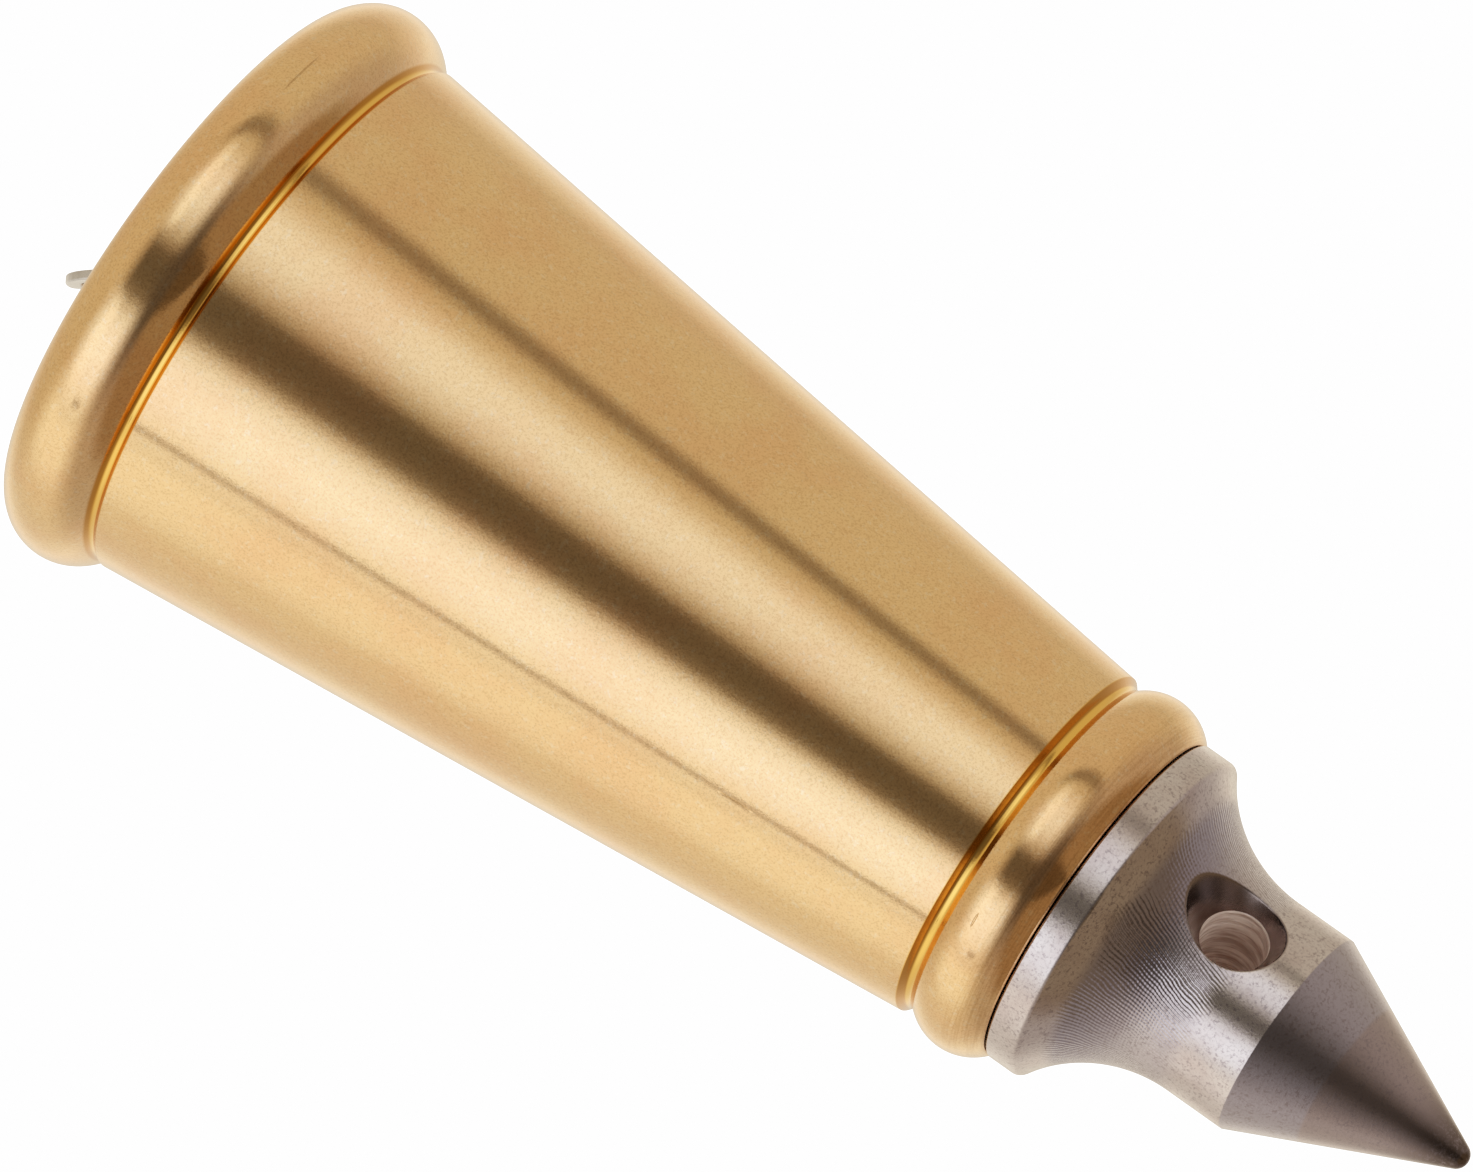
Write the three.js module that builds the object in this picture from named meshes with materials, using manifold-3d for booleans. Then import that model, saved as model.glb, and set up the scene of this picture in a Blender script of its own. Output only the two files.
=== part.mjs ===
// A conical brass plumb bob with a screw-in steel point and a recessed swivel eye.
// Millimetres, +Z up along the axis of the bob, large end up and point down.
// The origin is the centre of the eye's hole, where the bob hangs.

import * as THREE from "three";
import { mergeVertices } from "three/addons/utils/BufferGeometryUtils.js";
import Module from "manifold-3d";

const wasm = await Module();
wasm.setup();

// ---- Driving dimensions -------------------------------------------------------------------

const CLEARANCE = 0.3; // gap kept between neighbouring pieces
const TURNED_SEGMENTS = 48; // facets round the large turned pieces
const SMALL_SEGMENTS = 24; // facets round small pins, holes and nuts
const DRILL_HALF_ANGLE = THREE.MathUtils.degToRad(59); // a 118 degree drill point

// The body. Depths are measured down the axis from the flat top face.
const EYE_DEPTH = 3.0; // the eye's hole lies this far below the top face
const TOP_BEAD_RADIUS = 20.0; // widest radius of the bead round the top
const TOP_BEAD_ROUND = 3.49; // radius of the bead's own section
const CONE_TOP_RADIUS = 18.25;
const CONE_TOP_DEPTH = 7.39;
const CONE_END_RADIUS = 12.22;
const CONE_END_DEPTH = 63.32;
const GROOVE_DEPTH = 0.55; // how far a groove beside a bead is cut in
const LOW_BEAD_RADIUS = 12.72;
const LOW_BEAD_ROUND = 3.42;
const LOW_BEAD_DEPTH = 66.51; // depth of the widest place of the lower bead
const BODY_LENGTH = 69.25;

// The recess, bores and seats inside the body.
const RECESS_RADIUS = 7.0;
const RECESS_DEPTH = 6.4;
const RIM_CHAMFER = 0.4;
const BUSH_THREAD_RADIUS = 5.9;
const BUSH_TOP_DEPTH = 6.5;
const BUSH_HEIGHT = 5.5;
const NUT_BORE_RADIUS = 4.7;
const NUT_BORE_DEPTH = 18.2;
const STUD_RADIUS = 4.0;
const STUD_LENGTH = 13.5;
const STUD_BORE_DEPTH = 15.6;
const WASHER_SEAT_RADIUS = 7.3;
const WASHER_SEAT_DEPTH = 1.2;

// The steel point.
const FLANGE_TOP_DEPTH = 69.5;
const FLANGE_RADIUS = 11.42;
const FLANGE_THICKNESS = 1.85;
const FLANGE_CHAMFER = 0.15;
const NECK_RADIUS = 6.89;
const COVE_RADIUS = 9.5; // the concave sweep from flange to neck
const COVE_END_DEPTH = 79.5;
const NECK_END_DEPTH = 83.5;
const POINT_HALF_ANGLE = THREE.MathUtils.degToRad(24.73);
const TIP_DEPTH = 96.97;
const TIP_ROUND = 0.9;
const BAR_HOLE_RADIUS = 2.15; // of the blind bore for a turning bar
const BAR_HOLE_MOUTH = 5.2; // from the axis of the bob to the bore's mouth, under the countersink
const BAR_HOLE_BORE = 7.0; // length of the bore's straight part
const BAR_HOLE_FLARE = THREE.MathUtils.degToRad(27.5); // half of the countersink's angle
const BAR_HOLE_LEVEL = 78.38;
const BAR_HOLE_TURN = THREE.MathUtils.degToRad(-58); // about +Z, from +X

// The swivel, its retaining pieces and the split ring.
const BLADE_THICKNESS = 3.0;
const BLADE_RADIUS = 2.9;
const EYE_HOLE_RADIUS = 1.5;
const COLLAR_RADIUS = 3.2;
const COLLAR_HEIGHT = 0.8;
const STEM_RADIUS = 2.0;
const STEM_END_DEPTH = 17.2;
const SPANNER_HOLE_RADIUS = 0.8;
const SPANNER_HOLE_DEPTH = 2.2;
const SPANNER_PITCH_RADIUS = 4.2;
const THRUST_WASHER_RADIUS = 4.0;
const THRUST_WASHER_HEIGHT = 0.8;
const NUT_ACROSS_FLATS = 7.0;
const NUT_HEIGHT = 3.2;
const RING_RADIUS = 4.48; // to the middle of the ring's strip
const RING_STRIP_WIDTH = 1.0;
const RING_STRIP_HEIGHT = 0.62;
const RING_COIL_PITCH = 0.74;
const RING_LEAN = THREE.MathUtils.degToRad(32.7); // resting lean, towards -X
const RING_CROSSING = THREE.MathUtils.degToRad(140); // where the strip steps to its second layer
const RING_CROSSING_HALF = THREE.MathUtils.degToRad(35);
const RING_RUN = THREE.MathUtils.degToRad(616); // angle along the strip at its second end
const SEAT_WASHER_RADIUS = 7.0;

// ---- Materials ------------------------------------------------------------------------------

function metal(color, roughness) {
  return new THREE.MeshStandardMaterial({ color, roughness, metalness: 1 });
}

const brass = metal(0xc9a15a, 0.3);
const bushBrass = metal(0xb98f4c, 0.35);
const pointSteel = metal(0x8d8a88, 0.38);
const brightSteel = metal(0xb5b6b8, 0.3);

// ---- Helpers --------------------------------------------------------------------------------

const heightAt = (depth) => EYE_DEPTH - depth;
const part = new THREE.Group();

function addPart(name, geometry, material) {
  const mesh = new THREE.Mesh(geometry, material);
  mesh.name = name;
  part.add(mesh);
  return mesh;
}

// A piece turned on a lathe from [radius, depth] points, listed round its section: a solid
// piece's start and end on the axis, and a ring's are closed here.
function turned(points, segments = TURNED_SEGMENTS) {
  const profile = points.map(([radius, depth]) => new THREE.Vector2(radius, heightAt(depth)));
  if (THREE.ShapeUtils.area(profile) < 0) {
    profile.reverse();
  }
  if (profile[0].x > 0) {
    profile.push(profile[0].clone());
  }
  const geometry = new THREE.LatheGeometry(profile, segments);
  return geometry.rotateX(Math.PI / 2);
}

// Points on an arc of a turned profile, with its angle measured from the outward radius
// towards increasing depth.
function arc(centreRadius, centreDepth, radius, fromAngle, toAngle, steps) {
  const points = [];
  for (let i = 0; i <= steps; i += 1) {
    const angle = fromAngle + ((toAngle - fromAngle) * i) / steps;
    points.push([centreRadius + radius * Math.cos(angle), centreDepth + radius * Math.sin(angle)]);
  }
  return points;
}

function toSolid(geometry) {
  const bare = geometry.clone();
  bare.deleteAttribute("normal");
  bare.deleteAttribute("uv");
  const merged = mergeVertices(bare, 1e-4);
  return new wasm.Manifold(
    new wasm.Mesh({
      numProp: 3,
      vertProperties: new Float32Array(merged.attributes.position.array),
      triVerts: new Uint32Array(merged.index.array),
    }),
  );
}

function toGeometry(solid) {
  const mesh = solid.getMesh();
  const geometry = new THREE.BufferGeometry();
  geometry.setAttribute("position", new THREE.BufferAttribute(mesh.vertProperties, mesh.numProp));
  geometry.setIndex(new THREE.BufferAttribute(mesh.triVerts, 1));
  return geometry;
}

// A drilled bore with a countersink over it, along +Y from the drill point at the origin.
function countersinkGeometry(radius, straight, flare, length) {
  const coneHeight = radius / Math.tan(DRILL_HALF_ANGLE);
  const profile = [
    new THREE.Vector2(0, 0),
    new THREE.Vector2(radius, coneHeight),
    new THREE.Vector2(radius, coneHeight + straight),
    new THREE.Vector2(radius + length * Math.tan(flare), coneHeight + straight + length),
    new THREE.Vector2(0, coneHeight + straight + length),
  ];
  return new THREE.LatheGeometry(profile, TURNED_SEGMENTS);
}

// ---- The brass body -------------------------------------------------------------------------

function buildBody() {
  const topCentre = TOP_BEAD_RADIUS - TOP_BEAD_ROUND;
  const topEndAngle = THREE.MathUtils.degToRad(60);
  const lowCentre = LOW_BEAD_RADIUS - LOW_BEAD_ROUND;
  const lowStartAngle = THREE.MathUtils.degToRad(-43);
  const lowEndAngle = Math.asin((BODY_LENGTH - LOW_BEAD_DEPTH) / LOW_BEAD_ROUND);
  const topBead = arc(topCentre, TOP_BEAD_ROUND, TOP_BEAD_ROUND, -Math.PI / 2, topEndAngle, 10);
  const lowBead = arc(lowCentre, LOW_BEAD_DEPTH, LOW_BEAD_ROUND, lowStartAngle, lowEndAngle, 8);
  const beadEndDepth = topBead[topBead.length - 1][1];
  const lowBeadStart = lowBead[0];
  const boreRadius = BUSH_THREAD_RADIUS + CLEARANCE;
  const boreDepth = BUSH_TOP_DEPTH + BUSH_HEIGHT + CLEARANCE;
  const studBoreRadius = STUD_RADIUS + CLEARANCE;
  const seatDepth = BODY_LENGTH - WASHER_SEAT_DEPTH;
  const studBoreTop = BODY_LENGTH - STUD_BORE_DEPTH;
  const profile = [
    [0, NUT_BORE_DEPTH + NUT_BORE_RADIUS / Math.tan(DRILL_HALF_ANGLE)],
    [NUT_BORE_RADIUS, NUT_BORE_DEPTH],
    [NUT_BORE_RADIUS, boreDepth],
    [boreRadius, boreDepth],
    [boreRadius, RECESS_DEPTH],
    [RECESS_RADIUS, RECESS_DEPTH],
    [RECESS_RADIUS, RIM_CHAMFER],
    [RECESS_RADIUS + RIM_CHAMFER, 0],
    ...topBead,
    [CONE_TOP_RADIUS - GROOVE_DEPTH, (beadEndDepth + CONE_TOP_DEPTH) / 2],
    [CONE_TOP_RADIUS, CONE_TOP_DEPTH],
    [CONE_END_RADIUS, CONE_END_DEPTH],
    [CONE_END_RADIUS - GROOVE_DEPTH, (lowBeadStart[1] + CONE_END_DEPTH) / 2],
    ...lowBead,
    [WASHER_SEAT_RADIUS, BODY_LENGTH],
    [WASHER_SEAT_RADIUS, seatDepth],
    [studBoreRadius, seatDepth],
    [studBoreRadius, studBoreTop],
    [0, studBoreTop - studBoreRadius / Math.tan(DRILL_HALF_ANGLE)],
  ];
  return turned(profile);
}

// ---- The steel point ------------------------------------------------------------------------

function buildPoint() {
  const studTop = FLANGE_TOP_DEPTH - STUD_LENGTH;
  const studChamfer = 0.6;
  const coveCentre = NECK_RADIUS + COVE_RADIUS;
  const coveStart = Math.PI + Math.acos((coveCentre - FLANGE_RADIUS) / COVE_RADIUS);
  const profile = [
    [0, studTop],
    [STUD_RADIUS - studChamfer, studTop],
    [STUD_RADIUS, studTop + studChamfer],
    [STUD_RADIUS, FLANGE_TOP_DEPTH],
    [FLANGE_RADIUS - FLANGE_CHAMFER, FLANGE_TOP_DEPTH],
    [FLANGE_RADIUS, FLANGE_TOP_DEPTH + FLANGE_CHAMFER],
    [FLANGE_RADIUS, FLANGE_TOP_DEPTH + FLANGE_THICKNESS],
    ...arc(coveCentre, COVE_END_DEPTH, COVE_RADIUS, coveStart, Math.PI, 10),
    [NECK_RADIUS, NECK_END_DEPTH],
    ...arc(0, TIP_DEPTH - TIP_ROUND, TIP_ROUND, POINT_HALF_ANGLE, Math.PI / 2, 4).slice(0, -1),
    [0, TIP_DEPTH],
  ];
  const drill = countersinkGeometry(BAR_HOLE_RADIUS, BAR_HOLE_BORE, BAR_HOLE_FLARE, NECK_RADIUS);
  const boreEnd = BAR_HOLE_MOUTH - BAR_HOLE_BORE;
  const drillPoint = boreEnd - BAR_HOLE_RADIUS / Math.tan(DRILL_HALF_ANGLE);
  drill.translate(0, drillPoint, 0);
  drill.rotateZ(BAR_HOLE_TURN - Math.PI / 2);
  drill.translate(0, 0, heightAt(BAR_HOLE_LEVEL));
  return toGeometry(toSolid(turned(profile)).subtract(toSolid(drill)));
}

// ---- The swivel and its retaining pieces ----------------------------------------------------

function buildSwivelEye() {
  const collarTop = BUSH_TOP_DEPTH - CLEARANCE - COLLAR_HEIGHT;
  const collarBottom = collarTop + COLLAR_HEIGHT;
  const stemChamfer = 0.4;
  const stem = turned(
    [
      [0, collarTop],
      [COLLAR_RADIUS, collarTop],
      [COLLAR_RADIUS, collarBottom],
      [STEM_RADIUS, collarBottom],
      [STEM_RADIUS, STEM_END_DEPTH - stemChamfer],
      [STEM_RADIUS - stemChamfer, STEM_END_DEPTH],
      [0, STEM_END_DEPTH],
    ],
    SMALL_SEGMENTS,
  );
  const outline = new THREE.Shape();
  const bladeFoot = heightAt(collarTop + COLLAR_HEIGHT / 2);
  outline.moveTo(BLADE_RADIUS, bladeFoot);
  outline.absarc(0, 0, BLADE_RADIUS, 0, Math.PI, false);
  outline.lineTo(-BLADE_RADIUS, bladeFoot);
  outline.closePath();
  const blade = new THREE.ExtrudeGeometry(outline, {
    depth: BLADE_THICKNESS,
    bevelEnabled: false,
    curveSegments: SMALL_SEGMENTS / 2,
  });
  blade.translate(0, 0, -BLADE_THICKNESS / 2);
  blade.rotateX(Math.PI / 2);
  const hole = new THREE.CylinderGeometry(
    EYE_HOLE_RADIUS,
    EYE_HOLE_RADIUS,
    2 * BLADE_THICKNESS,
    SMALL_SEGMENTS,
  );
  return toGeometry(toSolid(stem).add(toSolid(blade)).subtract(toSolid(hole)));
}

function buildGlandBush() {
  const bush = toSolid(
    turned([
      [STEM_RADIUS + CLEARANCE, BUSH_TOP_DEPTH],
      [BUSH_THREAD_RADIUS, BUSH_TOP_DEPTH],
      [BUSH_THREAD_RADIUS, BUSH_TOP_DEPTH + BUSH_HEIGHT],
      [STEM_RADIUS + CLEARANCE, BUSH_TOP_DEPTH + BUSH_HEIGHT],
    ]),
  );
  const holes = [1, -1].map((side) => {
    const pin = new THREE.CylinderGeometry(
      SPANNER_HOLE_RADIUS,
      SPANNER_HOLE_RADIUS,
      2 * SPANNER_HOLE_DEPTH,
      SMALL_SEGMENTS / 2,
    );
    pin.rotateX(Math.PI / 2);
    pin.translate(side * SPANNER_PITCH_RADIUS, 0, heightAt(BUSH_TOP_DEPTH));
    return toSolid(pin);
  });
  return toGeometry(holes.reduce((solid, hole) => solid.subtract(hole), bush));
}

function buildWasher(innerRadius, outerRadius, topDepth, height) {
  return turned([
    [innerRadius, topDepth],
    [outerRadius, topDepth],
    [outerRadius, topDepth + height],
    [innerRadius, topDepth + height],
  ]);
}

function buildSwivelNut(topDepth) {
  const corner = NUT_ACROSS_FLATS / 2 / Math.cos(Math.PI / 6);
  const outline = new THREE.Shape();
  for (let i = 0; i < 6; i += 1) {
    const angle = (i * Math.PI) / 3;
    outline[i ? "lineTo" : "moveTo"](corner * Math.cos(angle), corner * Math.sin(angle));
  }
  outline.closePath();
  const bore = new THREE.Path();
  bore.absarc(0, 0, STEM_RADIUS + CLEARANCE, 0, 2 * Math.PI, true);
  outline.holes.push(bore);
  const nut = new THREE.ExtrudeGeometry(outline, {
    depth: NUT_HEIGHT,
    bevelEnabled: false,
    curveSegments: SMALL_SEGMENTS / 2,
  });
  return nut.translate(0, 0, heightAt(topDepth + NUT_HEIGHT));
}

// ---- The split ring -------------------------------------------------------------------------

// The middle line of the ring's strip: nearly two turns, stepping from one layer to the other
// once, behind the ring's top. The ring passes through the origin, where the eye's hole is.
class SplitRingPath extends THREE.Curve {
  getPoint(t, target = new THREE.Vector3()) {
    const turn = 2 * Math.PI;
    const run = THREE.MathUtils.lerp(RING_CROSSING_HALF, RING_RUN, t);
    const step = THREE.MathUtils.smoothstep(
      run,
      turn - RING_CROSSING_HALF,
      turn + RING_CROSSING_HALF,
    );
    const angle = RING_CROSSING - run;
    return target.set(
      (step - 0.5) * RING_COIL_PITCH,
      RING_RADIUS * Math.sin(angle),
      RING_RADIUS * (1 - Math.cos(angle)),
    );
  }
}

function buildSplitRing() {
  const x = RING_STRIP_HEIGHT / 2;
  const y = RING_STRIP_WIDTH / 2;
  const section = new THREE.Shape();
  section.moveTo(-x, -y);
  section.lineTo(x, -y);
  section.lineTo(x, y);
  section.lineTo(-x, y);
  section.closePath();
  return new THREE.ExtrudeGeometry(section, {
    steps: 72,
    bevelEnabled: false,
    extrudePath: new SplitRingPath(),
  });
}

// ---- The assembly ---------------------------------------------------------------------------

const thrustWasherDepth = BUSH_TOP_DEPTH + BUSH_HEIGHT + CLEARANCE;
const nutDepth = thrustWasherDepth + THRUST_WASHER_HEIGHT + CLEARANCE;
const seatWasherDepth = BODY_LENGTH - WASHER_SEAT_DEPTH + CLEARANCE;
const seatWasherHeight = FLANGE_TOP_DEPTH - CLEARANCE - seatWasherDepth;
const stemBore = STEM_RADIUS + CLEARANCE;
const studBore = STUD_RADIUS + CLEARANCE;

addPart("bob_body", buildBody(), brass);
addPart("steel_point", buildPoint(), pointSteel);
addPart(
  "seat_washer",
  buildWasher(studBore, SEAT_WASHER_RADIUS, seatWasherDepth, seatWasherHeight),
  brightSteel,
);
addPart("gland_bush", buildGlandBush(), bushBrass);
addPart("swivel_eye", buildSwivelEye(), brightSteel);
addPart(
  "thrust_washer",
  buildWasher(stemBore, THRUST_WASHER_RADIUS, thrustWasherDepth, THRUST_WASHER_HEIGHT),
  brightSteel,
);
addPart("swivel_nut", buildSwivelNut(nutDepth), brightSteel);
const splitRing = addPart("split_ring", buildSplitRing(), brightSteel);
splitRing.rotation.y = -RING_LEAN;

export default part;
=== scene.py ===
"""A brass plumb bob with a screw-in steel point and a swivel eye, hanging in a white studio.

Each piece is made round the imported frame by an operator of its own, in metres, +Z up.
"""

import math

import bpy
import numpy as np
from mathutils import Matrix, Vector


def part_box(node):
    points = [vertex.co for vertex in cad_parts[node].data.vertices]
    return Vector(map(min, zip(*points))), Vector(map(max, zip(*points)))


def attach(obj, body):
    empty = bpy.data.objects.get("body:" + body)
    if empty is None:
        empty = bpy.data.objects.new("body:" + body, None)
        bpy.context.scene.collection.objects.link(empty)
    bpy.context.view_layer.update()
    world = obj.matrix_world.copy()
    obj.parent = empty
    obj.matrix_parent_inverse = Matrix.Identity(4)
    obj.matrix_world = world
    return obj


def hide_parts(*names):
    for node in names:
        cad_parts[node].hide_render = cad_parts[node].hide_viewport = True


bl_info = {
    "name": "Brass Plumb Bob",
    "version": (1, 0, 0),
    "blender": (4, 5, 0),
    "location": "3D View > Sidebar > Plumb Bob",
    "description": "Makes a turned brass plumb bob, its steel point and its swivel eye",
    "category": "Object",
}

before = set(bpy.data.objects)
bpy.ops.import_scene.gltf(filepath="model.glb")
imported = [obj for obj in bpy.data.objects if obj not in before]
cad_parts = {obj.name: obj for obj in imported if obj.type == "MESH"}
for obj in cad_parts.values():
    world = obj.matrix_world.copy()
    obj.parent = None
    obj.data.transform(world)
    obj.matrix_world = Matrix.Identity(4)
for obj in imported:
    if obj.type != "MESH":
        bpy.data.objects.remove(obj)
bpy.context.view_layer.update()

MM = 0.001
BODY_LOW, BODY_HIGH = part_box("bob_body")
POINT_LOW, POINT_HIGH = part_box("steel_point")
WASHER_LOW, WASHER_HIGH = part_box("seat_washer")
BUSH_LOW, BUSH_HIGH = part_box("gland_bush")
EYE_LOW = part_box("swivel_eye")[0]
DRILL_SLOPE = 1 / math.tan(math.radians(59))  # fall of a 118 degree drill point, per radius
HOLD = 0.04 * MM  # a row this near each bend keeps the flat beside it flat
LONG_STRETCH = 0.7 * MM  # a stretch longer than this gets a row close to each of its ends
SAME = 1e-7  # radii closer together than this, in metres, are the same radius


# ---- Sizes and colours that a user would change ---------------------------------------------


def length(name, description, default):
    return bpy.props.FloatProperty(
        name=name, description=description, default=default, unit="LENGTH", precision=5
    )


def colour(name, description, default):
    return bpy.props.FloatVectorProperty(
        name=name, description=description, default=default, subtype="COLOR", min=0, max=1
    )


def share(name, description, default):
    return bpy.props.FloatProperty(
        name=name, description=description, default=default, min=0, max=1, subtype="FACTOR"
    )


def turn(name, description, degrees):
    return bpy.props.FloatProperty(
        name=name, description=description, default=math.radians(degrees), subtype="ANGLE"
    )


class BobSizes(bpy.types.PropertyGroup):
    """Sizes of the brass body."""

    bead_round: length("Top bead section", "Radius of the top bead's section", 3.49 * MM)
    cone_top_radius: length("Cone top radius", "Radius under the top bead", 18.25 * MM)
    cone_top_depth: length("Cone top depth", "Where the cone starts, below the top", 7.39 * MM)
    cone_end_radius: length("Cone end radius", "Radius above the lower bead", 12.22 * MM)
    cone_end_depth: length("Cone end depth", "Where the cone ends, below the top", 63.32 * MM)
    groove: length("Groove depth", "How far the groove beside a bead is cut in", 0.55 * MM)
    low_bead_radius: length("Lower bead radius", "Widest radius of it", 12.72 * MM)
    low_bead_round: length("Lower bead section", "Radius of its section", 3.42 * MM)
    low_bead_depth: length("Lower bead depth", "Depth of its widest place", 66.51 * MM)
    recess_radius: length("Recess radius", "Radius of the recess in the top", 7.0 * MM)
    recess_depth: length("Recess depth", "Depth of the recess in the top", 6.4 * MM)


class PointSizes(bpy.types.PropertyGroup):
    """Sizes of the steel point."""

    thread_radius: length("Thread radius", "Outside radius of the stud's thread", 3.95 * MM)
    thread_pitch: length("Thread pitch", "Rise of the thread in one turn", 1.25 * MM)
    thread_depth: length("Thread depth", "Depth of the thread", 0.65 * MM)
    flange_height: length("Flange height", "Height of the flange's straight rim", 1.85 * MM)
    cove_radius: length("Cove radius", "Radius of the sweep from flange to neck", 9.5 * MM)
    neck_radius: length("Neck radius", "Radius of the neck", 6.89 * MM)
    neck_start: length("Neck start", "Height where the cove ends", -76.5 * MM)
    neck_end: length("Neck end", "Height where the point's cone starts", -80.5 * MM)
    point_angle: turn("Point half angle", "Half of the angle of the point", 24.73)
    tip_round: length("Tip rounding", "Radius at the very tip", 0.9 * MM)
    hole_radius: length("Bar hole radius", "Radius of the blind bore", 2.15 * MM)
    hole_mouth: length("Bar hole mouth", "From the bob's axis to the countersink's foot", 5.2 * MM)
    hole_bore: length("Bar hole depth", "Length of the bore's straight part", 7.0 * MM)
    hole_height: length("Bar hole height", "Height of its axis", -75.38 * MM)
    hole_flare: turn("Bar hole flare", "Half of the countersink's angle", 27.5)
    hole_turn: turn("Bar hole direction", "Its direction about the axis, from +X", -58)


class SwivelSizes(bpy.types.PropertyGroup):
    """Sizes of the split ring and the eye."""

    ring_radius: length("Ring radius", "To the middle of the ring's strip", 4.48 * MM)
    strip_width: length("Strip width", "Width of the strip, across the ring", 1.0 * MM)
    strip_height: length("Strip thickness", "Thickness of the strip", 0.62 * MM)
    coil_pitch: length("Coil pitch", "Between the ring's two layers", 0.74 * MM)
    lean: turn("Ring lean", "Resting lean of the ring, towards -X", 32.7)
    crossing: turn("Crossing", "Where the strip steps to its second layer", 140)
    crossing_half: turn("Crossing half", "Half of the angle that the step takes", 35)
    run: turn("Strip run", "Angle along the strip at its second end", 616)
    blade_radius: length("Eye radius", "Outside radius of the eye", 2.9 * MM)
    blade_thickness: length("Eye thickness", "Thickness of the eye's blade", 3.0 * MM)
    eye_hole: length("Eye hole radius", "Radius of the eye's hole", 1.5 * MM)
    collar_radius: length("Collar radius", "Radius of the collar under the eye", 3.2 * MM)
    collar_height: length("Collar height", "Height of that collar", 0.8 * MM)
    stem_radius: length("Stem radius", "Radius of the swivel's stem", 2.0 * MM)
    spanner_pitch: length("Spanner holes", "From the axis to each pin hole", 4.2 * MM)
    spanner_radius: length("Spanner hole radius", "Radius of the pin holes", 0.8 * MM)
    spanner_depth: length("Spanner hole depth", "Depth of the pin holes", 2.2 * MM)


class Finishes(bpy.types.PropertyGroup):
    """Colours and gloss of the metals."""

    brass: colour("Brass", "Colour of the polished brass", (0.96, 0.62, 0.31))
    brass_gloss: share("Brass roughness", "Roughness of the polished brass", 0.10)
    steel: colour("Steel", "Colour of the hardened steel", (0.64, 0.585, 0.60))
    steel_gloss: share("Steel roughness", "Roughness of the hardened steel", 0.20)
    bright: colour("Bright steel", "Colour of the small bright pieces", (0.66, 0.66, 0.68))


class Studio(bpy.types.PropertyGroup):
    """Where the camera and the floor are."""

    distance: length("Camera distance", "From the camera to the point it looks at", 1.3297)
    width: length("Frame width", "Width seen at that distance", 0.08903)
    tilt: turn("Camera tilt", "How far the camera looks up", 11.45)
    roll: turn("Camera roll", "How far the camera is turned about its own axis", 54.774)
    floor: length("Floor height", "Height of the floor under the hanging bob", -0.36)


# ---- Outlines and surfaces ------------------------------------------------------------------


def arc(centre, radius, start, end, steps):
    """Points centre + radius * (cos a, sin a), with a going evenly from start to end, in degrees."""
    a = np.radians(np.linspace(start, end, steps + 1))
    return [(centre[0] + radius * c, centre[1] + radius * s, 0) for c, s in zip(np.cos(a), np.sin(a))]


def outline(corners, longest, bend_steps=5):
    """An outline through (radius, height, rounding) corners.

    A rounded corner becomes an arc tangent to both of its sides, in even steps of angle. A long
    stretch gets a row near each end, and rows are no further apart than longest.
    """
    corners = [np.array(c, float) for c in corners]
    bent = [corners[0][:2]]
    for before, here, after in zip(corners, corners[1:], corners[2:]):
        corner, rounding = here[:2], here[2]
        if rounding == 0:
            bent.append(corner)
            continue
        back, on = before[:2] - corner, after[:2] - corner
        back, on = back / np.linalg.norm(back), on / np.linalg.norm(on)
        half = math.acos(np.clip(back @ on, -1, 1)) / 2
        reach = rounding / math.tan(half)
        middle = (back + on) / np.linalg.norm(back + on)
        centre = corner + middle * rounding / math.sin(half)
        sweep = math.pi / 2 - half
        side = (on - middle * (on @ middle)) / np.linalg.norm(on - middle * (on @ middle))
        for a in np.linspace(-sweep, sweep, bend_steps + 1):
            bent.append(centre + rounding * (side * math.sin(a) - middle * math.cos(a)))
        assert reach < np.linalg.norm(before[:2] - corner) + HOLD, "a rounding is too large"
    bent.append(corners[-1][:2])
    rows = [bent[0]]
    for here, after in zip(bent, bent[1:]):
        span = np.linalg.norm(after - here)
        shares = np.linspace(0, 1, max(1, math.ceil(span / longest)) + 1)[1:]
        if span > LONG_STRETCH:
            shares = np.unique(np.append(shares, [HOLD / span, 1 - HOLD / span]))
        rows.extend(here + (after - here) * s for s in shares)
    return np.array(rows)


def ring_outline(corners, longest, bend_steps=5):
    """An outline that closes on itself, starting halfway along its last side."""
    start = tuple((np.array(corners[-1]) + np.array(corners[0])) / 2)
    return outline([start, *corners, start], longest, bend_steps)[:-1]


def thread_form(turns):
    """0 on a thread's crest and 1 at its root, with flanks in straight lines and short flats between."""
    wave = np.abs(2 * (turns % 1.0) - 1)
    return np.clip((wave - 0.12) / 0.68, 0, 1)


def threaded(radius, height, angle, low, high, pitch, depth):
    """The radius less depth * form(height / pitch - angle / 360), between low and high only."""
    fade = np.clip((height - low) / (0.6 * pitch), 0, 1) * np.clip((high - height) / (0.6 * pitch), 0, 1)
    return radius - depth * fade * thread_form(height / pitch - angle / (2 * math.pi))


def thread_on(surface, low, high, pitch, depth):
    """A radius_at for turned() that cuts a thread into the rows at the surface's radius only."""

    def radius_at(r, h, angle):
        return np.where(np.abs(r - surface) < SAME, threaded(r, h, angle, low, high, pitch, depth), r)

    return radius_at


def strips(lower, upper):
    """Quads between two closed loops of vertex numbers."""
    return np.stack(
        [lower, upper, np.roll(upper, -1, axis=-1), np.roll(lower, -1, axis=-1)], axis=-1
    ).reshape(-1, 4)


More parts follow.
